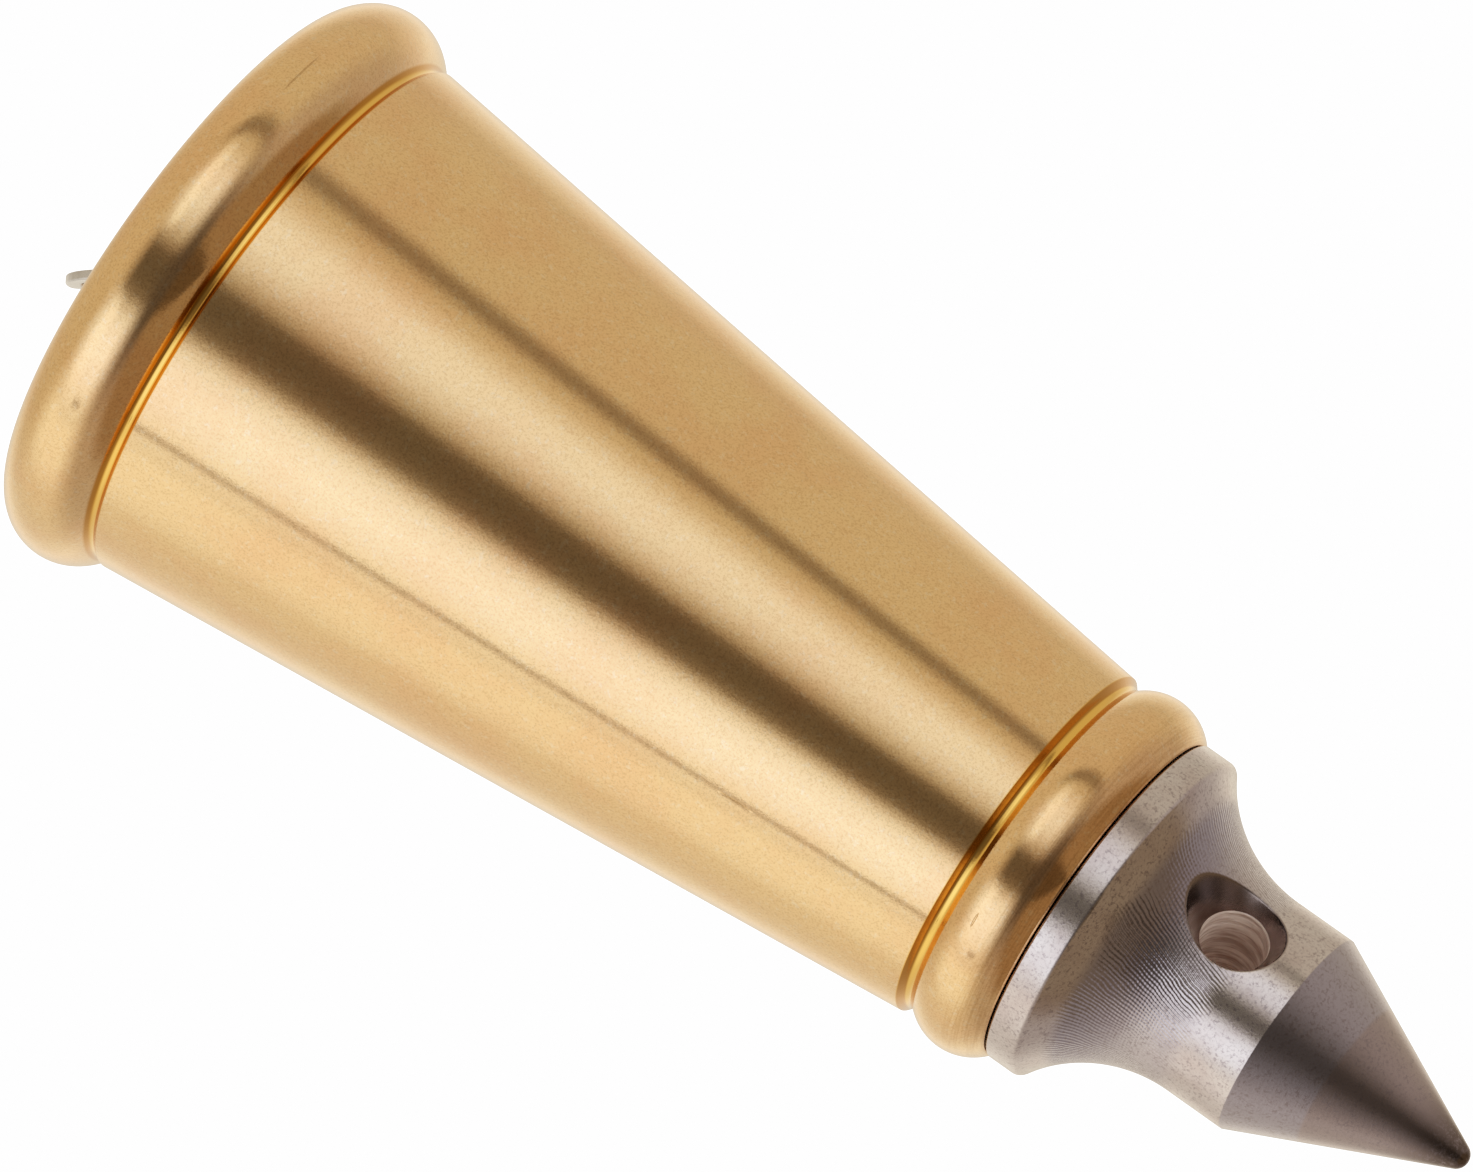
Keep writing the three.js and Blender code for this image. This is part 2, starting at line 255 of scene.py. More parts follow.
def turned(rows, columns, radius_at=None, first_angle=0.0):
    """A surface of revolution: (r cos a, r sin a, h) for each row (r, h) and column angle a.

    radius_at(r, h, a) may change the radius from place to place. Rows at radius 0 become one
    vertex each, with a fan of triangles; an outline that doesn't reach the axis closes on itself.
    Returns vertices, quads, triangles and the table of vertex numbers by row and column.
    """
    ends_on_axis = rows[0, 0] < 1e-9
    body = rows[1:-1] if ends_on_axis else rows
    angle = first_angle + np.arange(columns) * 2 * math.pi / columns
    r, h = body[:, :1] + 0 * angle, body[:, 1:] + 0 * angle
    if radius_at:
        r = radius_at(r, h, angle + 0 * h)
    vertices = np.stack([r * np.cos(angle), r * np.sin(angle), h], axis=-1).reshape(-1, 3)
    numbers = np.arange(len(vertices)).reshape(len(body), columns)
    if not ends_on_axis:
        loop = np.vstack([numbers, numbers[:1]])
        return vertices, strips(loop[:-1], loop[1:]), np.empty((0, 3), int), numbers
    poles = np.array([[0, 0, rows[0, 1]], [0, 0, rows[-1, 1]]])
    first, last = len(vertices), len(vertices) + 1
    top, low = numbers[0], numbers[-1]
    fans = np.vstack(
        [
            np.column_stack([np.full(columns, first), top, np.roll(top, -1)]),
            np.column_stack([np.full(columns, last), np.roll(low, -1), low]),
        ]
    )
    return np.vstack([vertices, poles]), strips(numbers[:-1], numbers[1:]), fans, numbers


def piece(name, vertices, faces, finish, smooth_below=40):
    """A mesh object at the origin, smooth except where faces meet more sharply than the angle given.

    Faces that all point inwards, so that the volume they enclose is negative, are turned round.
    """
    mesh = bpy.data.meshes.new(name)
    fans = [np.stack([g[:, 0], g[:, i], g[:, i + 1]], -1) for g in faces for i in range(1, g.shape[1] - 1)]
    a, b, c = (vertices[np.vstack(fans)[:, i]] for i in range(3))
    if np.einsum("ij,ij->", a, np.cross(b, c)) < 0:
        faces = [group[:, ::-1] for group in faces]
    mesh.from_pydata(vertices.tolist(), [], [f for group in faces for f in group.tolist()])
    mesh.validate()
    mesh.shade_smooth()
    mesh.set_sharp_from_angle(angle=math.radians(smooth_below))
    mesh.materials.append(finish)
    made = bpy.data.objects.new(name, mesh)
    bpy.context.scene.collection.objects.link(made)
    return made


def combined(made, tool, operation, smooth_below=40):
    """made with the closed shape of tool added to it or cut out of it. tool is used up."""
    step = made.modifiers.new("shape", "BOOLEAN")
    step.object, step.operation, step.solver = tool, operation, "EXACT"
    graph = bpy.context.evaluated_depsgraph_get()
    mesh = bpy.data.meshes.new_from_object(made.evaluated_get(graph))
    made.modifiers.clear()
    made.data = mesh
    mesh.set_sharp_from_angle(angle=math.radians(smooth_below))
    bpy.data.objects.remove(tool)


def place(made, body, node):
    """The piece rides on the body and hides the CAD node that it stands for."""
    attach(made, body)
    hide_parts(node)


# ---- Node trees -----------------------------------------------------------------------------


class Value:
    """A node's output. Python's operators on one that carries a number add Math nodes."""

    def __init__(self, tree, socket):
        self.tree, self.socket = tree, socket

    def math(self, operation, *others, swap=False):
        terms = (*others, self) if swap else (self, *others)
        return self.tree.node("ShaderNodeMath", {"operation": operation}, dict(enumerate(terms)))

    def __add__(self, other):
        return self.math("ADD", other)

    def __sub__(self, other):
        return self.math("SUBTRACT", other)

    def __rsub__(self, other):
        return self.math("SUBTRACT", other, swap=True)

    def __mul__(self, other):
        return self.math("MULTIPLY", other)

    def __truediv__(self, other):
        return self.math("DIVIDE", other)

    def __rtruediv__(self, other):
        return self.math("DIVIDE", other, swap=True)

    __radd__, __rmul__ = __add__, __mul__

    def step(self, low, high):
        """0 at low and 1 at high, and smooth between. low may be above high."""
        return self.tree.node(
            "ShaderNodeMapRange",
            {"interpolation_type": "SMOOTHSTEP"},
            {"Value": self, "From Min": low, "From Max": high},
        )


class Tree:
    """A node tree and the one way in which nodes are added to it."""

    def __init__(self, tree):
        self.tree = tree
        tree.nodes.clear()

    def node(self, kind, settings=None, inputs=None, output=0):
        """A node of that kind: its settings are set first, then its sockets' values or links."""
        made = self.tree.nodes.new(kind)
        for name, value in (settings or {}).items():
            if name == "stops":
                self.set_stops(made.color_ramp, value)
            else:
                setattr(made, name, value)
        for key, value in (inputs or {}).items():
            if isinstance(value, Value):
                self.tree.links.new(value.socket, made.inputs[key])
            else:
                made.inputs[key].default_value = value
        if not made.outputs:
            return made
        return Value(self, made.outputs[output])

    @staticmethod
    def set_stops(ramp, stops):
        """Stops are (place, grey) or (place, (r, g, b))."""
        for extra in range(len(stops) - 2):
            ramp.elements.new((extra + 1) / len(stops))
        for element, (at, value) in zip(ramp.elements, stops):
            element.position = at
            rgb = value if isinstance(value, tuple) else (value,) * 3
            element.color = (*rgb, 1)

    def mix(self, factor, first, second):
        """The first colour where factor is 0 and the second where it is 1."""
        return self.node(
            "ShaderNodeMix", {"data_type": "RGBA"}, {0: factor, 6: first, 7: second}, output=2
        )

    def vector(self, x, y, z):
        return self.node("ShaderNodeCombineXYZ", None, {0: x, 1: y, 2: z})

    def parts(self, vector):
        """The x, y and z of a vector."""
        made = self.node("ShaderNodeSeparateXYZ", None, {0: vector}).socket.node
        return [Value(self, socket) for socket in made.outputs]

    def noise(self, where, scale, detail=2.0, rough=0.5, output=0):
        """Noise about 0.5, with features of about 1 / scale metres."""
        return self.node(
            "ShaderNodeTexNoise",
            {"noise_dimensions": "3D"},
            {"Vector": where, "Scale": scale, "Detail": detail, "Roughness": rough},
            output,
        )


class Finish(Tree):
    """A metal finish, with the places that its patterns need worked out from Object coordinates."""

    def __init__(self, name):
        self.material = bpy.data.materials.new(name)
        self.material.use_nodes = True
        super().__init__(self.material.node_tree)
        self.at = self.node("ShaderNodeTexCoord", output=3)
        self.x, self.y, self.z = self.parts(self.at)
        self.radius = (self.x * self.x + self.y * self.y + 1e-12).math("SQRT")
        self.bearing = (0 - self.x).math("ARCTAN2", 0 - self.y)

    def nick(self, height, bearing, tall, wide):
        """1 along a short scratch and 0 off it: tall along the axis, wide round it."""
        round_it = (self.bearing - math.radians(bearing)) * self.radius / wide
        along_it = (self.z - height) / tall
        return (round_it * round_it + along_it * along_it).step(1.0, 0.3)

    def turning(self, fineness, drift=3.0):
        """Noise that changes quickly along the axis and slowly round it, as turning lines do."""
        where = self.vector(self.x / self.radius * drift, self.y / self.radius * drift, self.z * fineness)
        return self.noise(where, 1.0, 3.0, 0.6)

    def metal(self, base, roughness, bumps, metallic=1.0):
        """Ends the finish as bare metal. bumps are (height, distance in metres) pairs."""
        normal = None
        for height, distance in bumps:
            sockets = {"Height": height, "Distance": distance, "Strength": 1.0}
            if normal:
                sockets["Normal"] = normal
            normal = self.node("ShaderNodeBump", None, sockets)
        shader = self.node(
            "ShaderNodeBsdfPrincipled",
            {"distribution": "MULTI_GGX"},
            {"Base Color": base, "Metallic": metallic, "Roughness": roughness, "Normal": normal},
        )
        self.node("ShaderNodeOutputMaterial", None, {"Surface": shader})
        return self.material


# ---- Finishes -------------------------------------------------------------------------------


def polished_brass(settings, groove_top, groove_low, groove):
    """Bright brass: blotches from handling, a fine grain, turning lines, and in the grooves painted shade
    and a painted gold reflection.
    """
    f = Finish("polished_brass")
    blotch = f.noise(f.at, 130.0, 4.0, 0.65)
    grain = f.noise(f.at, 6500.0, 2.0, 0.8)
    brushed = f.noise(f.at, 2600.0, 3.0, 0.7)
    lines = f.turning(5200.0)
    red, green, blue = settings.brass
    base = f.mix(blotch.step(0.38, 0.68), (red, green, blue, 1), (red * 0.97, green * 0.88, blue * 0.88, 1))
    base = f.mix(grain.step(0.46, 0.64) * 0.42, base, (red * 0.5, green * 0.45, blue * 0.4, 1))
    base = f.mix(brushed.step(0.54, 0.70) * 0.3, base, (1.0, 0.86, 0.62, 1))
    # colours of the painted shade and the painted reflection in the grooves
    painted_groove_shade, painted_groove_reflection = (red * 0.62, green * 0.42, blue * 0.12, 1), (red, green * 0.86, blue * 0.4, 1)
    off_top = (f.z - groove_top).math("ABSOLUTE")
    # painted shade: the upper groove's sides are darkened brown
    base = f.mix(off_top.step(groove * 0.95, groove * 0.7), base, painted_groove_shade)
    # painted reflection: the upper groove's middle is tinted the deeper gold of light bouncing inside it
    base = f.mix(off_top.step(groove * 0.5, groove * 0.1), base, painted_groove_reflection)
    in_low = (f.z - groove_low).math("ABSOLUTE").step(groove * 0.95, groove * 0.7)
    # painted reflection: the lower groove is tinted the same deeper gold
    base = f.mix(in_low, base, painted_groove_reflection)
    # painted shade: the lower groove's upper, downward-facing half is darkened brown
    base = f.mix(in_low * (f.z - groove_low).step(0.0, 0.1 * MM), base, painted_groove_shade)
    hoops = f.turning(9000.0).step(0.42, 0.62) * f.z.step(groove_low - 2.6 * MM, groove_low - 4.0 * MM)
    base = f.mix(hoops * 0.35, base, (red * 0.5, green * 0.42, blue * 0.3, 1))
    dents = f.nick(-46.9 * MM, 34, 1.3 * MM, 0.11 * MM) + f.nick(-63.0 * MM, 24, 0.08 * MM, 0.6 * MM)
    dents = dents + f.nick(-0.2 * MM, -41, 0.07 * MM, 2.3 * MM)
    base = f.mix(dents * 0.5, base, (red * 0.4, green * 0.34, blue * 0.25, 1))
    rough = settings.brass_gloss + (blotch - 0.5) * 0.08 + (brushed - 0.5) * 0.10
    waves = f.noise(f.at, 260.0, 2.0, 0.5)
    bumps = [(waves, 4e-6), (brushed, 3.0e-6), (grain, 1.8e-6), (lines, 2.5e-6), (1 - dents, 3e-5)]
    return f.metal(base, rough, bumps)


def bush_brass():
    """Brass as it comes off the lathe, duller in the recess."""
    f = Finish("bush_brass")
    blotch = f.noise(f.at, 400.0, 3.0, 0.6)
    lines = f.noise(f.vector(f.radius * 9000.0, 0.0, f.z * 9000.0), 1.0, 2.0, 0.6)
    base = f.mix(blotch.step(0.3, 0.7), (0.72, 0.46, 0.2, 1), (0.58, 0.36, 0.16, 1))
    return f.metal(base, 0.3 + (blotch - 0.5) * 0.2, [(lines, 1.5e-6)])


def hardened_steel(settings, sizes):
    """Turned steel: slanting ridges and painted shade in the cove, temper colours down the point, and a
    duller bar hole with painted shade in its countersink and painted light on its bore.
    """
    f = Finish("hardened_steel")
    blotch = f.noise(f.at, 320.0, 3.0, 0.6)
    grain = f.noise(f.at, 5200.0, 2.0, 0.7)
    spots = f.noise(f.at, 2600.0, 3.0, 0.75)
    lines = f.turning(5600.0)
    steel = settings.steel
    stained = (steel[0] * 0.84, steel[1] * 0.79, steel[2] * 0.79, 1)
    base = f.mix(blotch.step(0.35, 0.75), (*steel, 1), stained)
    point = f.z.step(sizes.neck_end + 0.05 * MM, sizes.neck_end - 0.05 * MM)
    upper = (steel[0] * 0.66, steel[1] * 0.67, steel[2] * 0.76, 1)
    brown = (steel[0] * 0.62, steel[1] * 0.57, steel[2] * 0.58, 1)
    dark = (steel[0] * 0.22, steel[1] * 0.19, steel[2] * 0.17, 1)
    uneven = f.z + (blotch - 0.5) * 0.002
    temper_line, tip_start, tip_end = -84.7 * MM, -88.5 * MM, -93.5 * MM
    tempered = f.mix(f.z.step(temper_line, temper_line - 0.3 * MM), upper, brown)
    tempered = f.mix(uneven.step(tip_start, tip_end), tempered, dark)
    base = f.mix(point, base, tempered)
    cove_top, cove_low = -69.3 * MM, -77.4 * MM
    in_cove = f.z.step(cove_top, cove_top - 0.9 * MM) * f.z.step(cove_low, cove_low + 1.8 * MM)
    shade_under_flange = f.z.step(-74.5 * MM, -70.5 * MM) * 0.3 + 0.3
    # painted shade: a dark bluish tint in the cove, strongest just under the flange
    base = f.mix(in_cove * shade_under_flange, base, (steel[0] * 0.30, steel[1] * 0.33, steel[2] * 0.52, 1))
    speckle = spots.step(0.53, 0.66) * 0.45 + grain.step(0.46, 0.64) * 0.35
    base = f.mix(speckle, base, (steel[0] * 0.45, steel[1] * 0.42, steel[2] * 0.45, 1))
    out = Vector((math.cos(sizes.hole_turn), math.sin(sizes.hole_turn)))
    across = f.x * -out.y + f.y * out.x
    up = f.z - sizes.hole_height
    from_hole = (across * across + up * up + 1e-12).math("SQRT")
    inward = f.x * out.x + f.y * out.y
    past_mouth = (inward - sizes.hole_mouth).math("MAXIMUM", 0.0)
    wall = from_hole - past_mouth * math.tan(sizes.hole_flare)
    near = sizes.hole_radius + 0.02 * MM
    inside = wall.step(near + 0.1 * MM, near) * inward.step(-4 * MM, -3 * MM)
    bore = inward.step(sizes.hole_mouth + 0.04 * MM, sizes.hole_mouth - 0.02 * MM) * inside
    smear = f.noise(f.vector(across * 300.0, up * 300.0, inward * 2400.0), 1.0, 3.0, 0.6)
    # painted shade: the countersink inside the bar hole is coloured dark
    base = f.mix(inside, base, f.mix(blotch, (0.16, 0.13, 0.12, 1), (0.36, 0.30, 0.30, 1)))
    # the bore: mottled by the drill's smear, and painted light, a pale pink that stands for light on its
    # walls
    bore_smear_and_light = f.mix(smear.step(0.35, 0.65), (0.5, 0.36, 0.31, 1), (1.0, 0.86, 0.79, 1))
    base = f.mix(bore, base, bore_smear_and_light)
    wobble = f.noise(f.at, 420.0, 3.0, 0.5)
    slant = (f.z * 9000.0 + f.bearing * 190.0 + wobble * 16.0).math("SINE")
    hoops = ((f.z + (wobble - 0.5) * 0.0001) * (2 * math.pi / (0.2 * MM))).math("SINE")
    ridges = (slant + hoops * 0.25) * in_cove * (1 - inside)
    rough = settings.steel_gloss + (blotch - 0.5) * 0.12 + (grain - 0.5) * 0.12 + bore * 0.2
    bumps = [(ridges, 8e-6), (smear * bore, 3e-5), (grain, 5e-6), (lines, 5e-6)]
    return f.metal(base, rough, bumps, 1 - bore * 0.75)


def bright_steel(settings):
    """Small turned steel pieces, with fine lines round the axis."""
    f = Finish("bright_steel")
    blotch = f.noise(f.at, 500.0, 3.0, 0.6)
    lines = f.turning(7000.0)
    base = f.mix(blotch.step(0.3, 0.8), (*settings.bright, 1), (0.5, 0.49, 0.5, 1))
    return f.metal(base, 0.24 + (blotch - 0.5) * 0.15, [(lines, 1.2e-6)])


def spring_steel(settings):
    """Rolled strip, with scuffs along it."""
    f = Finish("spring_steel")
    blotch = f.noise(f.at, 700.0, 3.0, 0.6)
    scuffs = f.noise(f.vector(f.x * 6000.0, f.y * 900.0, f.z * 900.0), 1.0, 2.0, 0.6)
    base = f.mix(blotch.step(0.3, 0.8), (*settings.bright, 1), (0.42, 0.41, 0.42, 1))
    return f.metal(base, 0.26 + (blotch - 0.5) * 0.2, [(scuffs, 1.5e-6)])


# ---- The studio's light ---------------------------------------------------------------------

# Brightness and warmth of the surroundings at each bearing, in degrees from the camera's side
# towards -X.
SURROUNDINGS = (
    (-180, 0.75, 0.9), (-160, 1.2, 0.9), (-130, 0.62, 1.0), (-80, 0.62, 1.0), (-44, 0.60, 1.0),
    (-38, 0.85, 0.6), (-30, 1.15, 0.2), (-20, 1.15, 0.1), (-11, 0.86, 0.3), (-7, 0.63, 0.5),
    (-2, 0.38, 0.8), (2, 0.13, 1.0), (9, 0.10, 1.0), (16, 0.12, 1.0), (21, 0.19, 0.9),
    (25, 0.56, 0.5), (30, 1.12, 0.2), (35, 1.4, 0.0), (45, 1.65, 0.0), (55, 1.5, 0.0),
    (61, 1.38, 0.3), (74, 1.08, 0.6), (80, 1.28, 0.7), (96, 1.22, 0.7), (105, 1.06, 0.7),
    (110, 0.92, 0.8), (128, 0.84, 0.8), (140, 0.9, 0.8), (157, 1.2, 0.8), (180, 0.75, 0.9),
)


def light_studio():
    """Surroundings whose brightness follows the bearing, darker below, and white behind."""
    world = bpy.data.worlds.new("studio")
    bpy.context.scene.world = world
    world.use_nodes = True
    w = Tree(world.node_tree)
    x, y, z = w.parts(w.node("ShaderNodeTexCoord", output=0))
    bearing = (0 - x).math("ARCTAN2", 0 - y) * (180 / math.pi)
    stops = [
        ((a + 180) / 360, (b / 2 * (1 + 0.04 * warm), b / 2 * (1 - 0.12 * warm), b / 2 * (1 - 0.36 * warm)))
        for a, b, warm in SURROUNDINGS
    ]
    ring = w.node("ShaderNodeValToRGB", {"stops": stops}, {0: (bearing + 180) / 360})
    # a broad dark card on one side and a thin dark edge, seen near the horizon, on the other
    flag = (bearing + 54).math("ABSOLUTE").step(9, 1) * 0.62
    edge = (bearing - 66.5).math("ABSOLUTE").step(2.4, 0.9) * z.math("ABSOLUTE").step(0.16, 0.08) * 0.62
    shade = (1 - flag) * (1 - edge)
    ring = w.mix(shade, (0, 0, 0, 1), ring)
    # darker from a little below the horizon down, most of all in front
    sideways = (bearing - 12).math("ABSOLUTE").step(8, 86)
    below = w.mix(sideways, (0.042, 0.035, 0.028, 1), (0.24, 0.20, 0.165, 1))
    light = w.mix(z.step(-0.08, -0.60), ring, below)
    off_dark = (bearing - 10).math("ABSOLUTE")
    under = w.mix(off_dark.step(12, 26), (0.05, 0.035, 0.02, 1), (0.14, 0.10, 0.06, 1))
    light = w.mix(z.step(-0.63, -0.80), light, under)
    # a pale patch above the horizon to each side of the dark front, and a tan ceiling
    crest = z.step(0.14, 0.40) * z.step(0.66, 0.46) * off_dark.step(12, 22) * off_dark.step(60, 46)
    light = w.mix(crest * 0.35, light, (0.95, 0.9, 0.8, 1))
    light = w.mix(z.step(0.42, 0.86), light, (0.33, 0.27, 0.19, 1))
    # white where the camera sees the surroundings themselves
    seen = w.node("ShaderNodeLightPath", output=0)
    light = w.mix(seen, light, (1.1, 1.1, 1.1, 1))
    background = w.node("ShaderNodeBackground", None, {"Color": light, "Strength": 2.0})
    w.node("ShaderNodeOutputWorld", None, {"Surface": background})


def set_tones():
    """A soft shoulder: mid tones keep their brightness and highlights roll off towards white."""
    look = bpy.context.scene.view_settings
    look.view_transform = "Standard"
    look.use_curve_mapping = True
    curves = look.curve_mapping
    curves.white_level = (2, 2, 2)
    for at, to in ((0.25, 0.5), (0.475, 0.77), (0.75, 0.98)):
        curves.curves[3].points.new(at, to)
    curves.update()


# ---- Operators ------------------------------------------------------------------------------


def settings_of(context):
    return context.scene.plumb_bob_finishes


class OBJECT_OT_brass_body(bpy.types.Operator):
    """Make the turned brass body"""

    bl_idname = "object.plumb_bob_body"
    bl_label = "Brass Body"

    def execute(self, context):
        s, p = context.scene.plumb_bob_body, context.scene.plumb_bob_point
        top, low, widest = BODY_HIGH.z, BODY_LOW.z, BODY_HIGH.x
        bead = top - s.bead_round
        beads_end = arc((widest - s.bead_round, bead), s.bead_round, 90, -60, 44)
        low_middle = (s.low_bead_radius - s.low_bead_round, top - s.low_bead_depth)
        end_angle = -math.degrees(math.asin((low_middle[1] - low) / s.low_bead_round))
        low_bead = arc(low_middle, s.low_bead_round, 43, end_angle, 30)
        groove_top = (beads_end[-1][1] + top - s.cone_top_depth) / 2
        groove_low = (low_bead[0][1] + top - s.cone_end_depth) / 2
        seat_radius, seat = WASHER_HIGH.x + 0.3 * MM, low + 1.2 * MM
        bore = p.thread_radius + 0.1 * MM
        bore_end = low + 15.6 * MM
        bush_bore, bush_floor = BUSH_HIGH.x + 0.1 * MM, BUSH_LOW.z - 0.3 * MM
        nut_bore, nut_floor = 4.7 * MM, top - 18.2 * MM
        floor = top - s.recess_depth
        corners = [
            (0, nut_floor - nut_bore * DRILL_SLOPE, 0),
            (nut_bore, nut_floor, 0.3 * MM),
            (nut_bore, bush_floor, 0.1 * MM),
            (bush_bore, bush_floor, 0.1 * MM),
            (bush_bore, floor, 0.15 * MM),
            (s.recess_radius, floor, 0.25 * MM),
            (s.recess_radius, top - 0.4 * MM, 0.1 * MM),
            (s.recess_radius + 0.4 * MM, top, 0.1 * MM),
            *beads_end,
            (s.cone_top_radius - s.groove, groove_top, 0.42 * MM),
            (s.cone_top_radius, top - s.cone_top_depth, 0.02 * MM),
            (s.cone_end_radius, top - s.cone_end_depth, 0.02 * MM),
            (s.cone_end_radius - s.groove, groove_low, 0.42 * MM),
            *low_bead,
            (seat_radius, low, 0.15 * MM),
            (seat_radius, seat, 0.15 * MM),
            (bore + 0.3 * MM, seat, 0.05 * MM),
            (bore, seat + 0.5 * MM, 0.05 * MM),
            (bore, seat + 1.0 * MM, 0),
            *[(bore, h, 0) for h in np.arange(seat + 1.1 * MM, bore_end - 0.2 * MM, 0.16 * MM)],
            (bore, bore_end, 0.2 * MM),
            (0, bore_end + bore * DRILL_SLOPE, 0),
        ]
        start, stop = seat + 0.2 * MM, bore_end - 0.6 * MM
        thread = thread_on(bore, start, stop, p.thread_pitch, p.thread_depth)
        vertices, quads, fans, _ = turned(outline(corners, 4 * MM, 8), 280, thread)
        finish = polished_brass(settings_of(context), groove_top, groove_low, s.groove)
        made = piece("brass_body", vertices, [quads, fans], finish)
        place(made, "bob", "bob_body")
        return {"FINISHED"}


class OBJECT_OT_steel_point(bpy.types.Operator):
    """Make the steel point, with its threaded stud and its hole for a turning bar"""

    bl_idname = "object.plumb_bob_point"
    bl_label = "Steel Point"

    def execute(self, context):
        p = context.scene.plumb_bob_point
        top, tip, flange = POINT_HIGH.z, POINT_LOW.z, POINT_HIGH.x
        flange_top = WASHER_LOW.z - 0.15 * MM
        flange_low = WASHER_LOW.z - 0.3 * MM - p.flange_height
        cove = (p.neck_radius + p.cove_radius, p.neck_start)
        cove_start = 180 - math.degrees(math.acos((cove[0] - flange) / p.cove_radius))
        tip_middle = tip + p.tip_round
        tip_end = -math.degrees(p.point_angle)
        relief = flange_top + 1.5 * MM
        corners = [
            (0, top, 0),
            (p.thread_radius - 0.7 * MM, top, 0.05 * MM),
            (p.thread_radius, top - 0.6 * MM, 0.05 * MM),
            *[(p.thread_radius, h, 0) for h in np.arange(top - 0.8 * MM, relief + 0.3 * MM, -0.14 * MM)],
            (p.thread_radius, relief + 0.3 * MM, 0.03 * MM),
            (p.thread_radius - p.thread_depth, relief - 0.2 * MM, 0.1 * MM),
            (p.thread_radius - p.thread_depth, flange_top, 0.3 * MM),
            (flange - 0.15 * MM, flange_top, 0.04 * MM),
            (flange, flange_top - 0.15 * MM, 0.04 * MM),
            (flange, flange_low, 0.45 * MM),
            *arc(cove, p.cove_radius, cove_start, 180, 60)[1:],
            (p.neck_radius, p.neck_end, 0.08 * MM),
            *arc((0, tip_middle), p.tip_round, tip_end, -90, 10)[:-1],
            (0, tip, 0),
        ]
        rows = outline(corners, 0.3 * MM, 4)
        thread = thread_on(p.thread_radius, relief, top, p.thread_pitch, p.thread_depth)
        vertices, quads, fans, numbers = turned(rows, 240, thread, first_angle=p.hole_turn)
        vertices, quads, more = bar_hole(p, rows, vertices, quads, numbers)
        finish = hardened_steel(settings_of(context), p)
        made = piece("steel_point_turned", vertices, [quads, fans, more], finish)
        place(made, "point", "steel_point")
        return {"FINISHED"}


